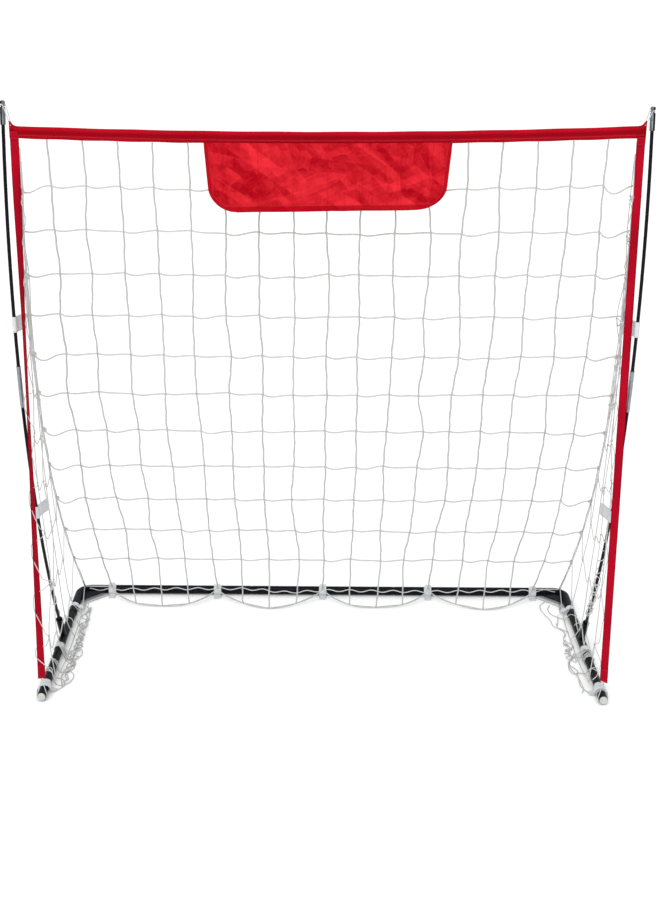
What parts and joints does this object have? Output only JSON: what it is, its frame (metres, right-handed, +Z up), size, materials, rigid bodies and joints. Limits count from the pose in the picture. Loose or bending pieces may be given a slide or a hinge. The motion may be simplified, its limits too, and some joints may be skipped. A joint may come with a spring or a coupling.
{
  "type": "pop-up soccer goal",
  "caption": "Free-standing goal with a steel base frame, bowed fibreglass poles, a fabric crossbar with a hanging flap, and a net strapped to the base.",
  "frame": {"origin": "on the ground, at the middle of the footprint's width and depth", "axes": "+X across the goal to the right seen from the front, +Y from the mouth to the back, +Z up"},
  "size_m": [1.8966, 0.8778, 1.9056],
  "materials": {
    "black_steel": "satin black powder coat",
    "button_steel": "zinc-plated spring steel",
    "fibreglass": "smooth black fibreglass rod",
    "ferrule_metal": "drawn tube, slightly dull",
    "tip_metal": "dark turned metal",
    "pale_plastic": "moulded, matt",
    "red_fabric": "woven red polyester webbing and sleeve",
    "banner_fabric": "creased red polyester, hemmed",
    "net_cord": "knotted white netting cord",
    "elastic": "white elastic cord",
    "strap": "light grey hook-and-loop webbing"
  },
  "bodies": {
    "goal": {"rear_tube_middle": "black_steel", "corner_tube_left": "black_steel", "corner_tube_right": "black_steel", "corner_gusset_left": "black_steel", "corner_gusset_right": "black_steel", "side_tube_left": "black_steel", "side_tube_right": "black_steel", "pole_socket_left": "black_steel", "pole_socket_right": "black_steel", "end_plug_left": "pale_plastic", "end_plug_right": "pale_plastic", "button_spring_rear_left": "button_steel", "button_spring_rear_right": "button_steel", "button_spring_side_left": "button_steel", "button_spring_side_right": "button_steel", "pole_lower_left": "fibreglass", "pole_lower_right": "fibreglass", "pole_upper_left": "fibreglass", "pole_upper_right": "fibreglass", "pole_ferrule_left": "ferrule_metal", "pole_ferrule_right": "ferrule_metal", "pole_tip_left": "tip_metal", "pole_tip_right": "tip_metal", "tip_cord_left": "net_cord", "tip_cord_right": "net_cord", "header_sleeve": "red_fabric", "front_strip_left": "red_fabric", "front_strip_right": "red_fabric", "front_loop_left": "elastic", "front_loop_right": "elastic", "net_rear": "net_cord", "net_side_left": "net_cord", "net_side_right": "net_cord", "rear_strap_1": "strap", "rear_strap_2": "strap", "rear_strap_3": "strap", "rear_strap_4": "strap", "rear_strap_5": "strap", "side_strap_front_left": "strap", "side_strap_front_right": "strap", "side_strap_middle_left": "strap", "side_strap_middle_right": "strap", "corner_strap_left": "strap", "corner_strap_right": "strap", "pole_strap_upper_left": "strap", "pole_strap_upper_right": "strap", "pole_strap_lower_left": "strap", "pole_strap_lower_right": "strap"},
    "banner": {"header_banner": "banner_fabric"},
    "button_rear_left": {"snap_button_rear_left": "button_steel"},
    "button_rear_right": {"snap_button_rear_right": "button_steel"},
    "button_side_left": {"snap_button_side_left": "button_steel"},
    "button_side_right": {"snap_button_side_right": "button_steel"}
  },
  "joints": [
    {"name": "banner_swing", "type": "hinge", "parent": "goal", "child": "banner", "pos_m": [0, -0.4243, 1.7983], "axis": [-1, 0, 0], "range_deg": [-8, 165]},
    {"name": "press_rear_left", "type": "slide", "parent": "goal", "child": "button_rear_left", "axis": [0, 0, 1], "range_m": [-0.005, 0], "stiffness_N_per_m": 1500, "deforming": ["button_spring_rear_left"]},
    {"name": "press_rear_right", "type": "slide", "parent": "goal", "child": "button_rear_right", "axis": [0, 0, 1], "range_m": [-0.005, 0], "stiffness_N_per_m": 1500, "deforming": ["button_spring_rear_right"]},
    {"name": "press_side_left", "type": "slide", "parent": "goal", "child": "button_side_left", "axis": [0, 0, 1], "range_m": [-0.005, 0], "stiffness_N_per_m": 1500, "deforming": ["button_spring_side_left"]},
    {"name": "press_side_right", "type": "slide", "parent": "goal", "child": "button_side_right", "axis": [0, 0, 1], "range_m": [-0.005, 0], "stiffness_N_per_m": 1500, "deforming": ["button_spring_side_right"]}
  ]
}
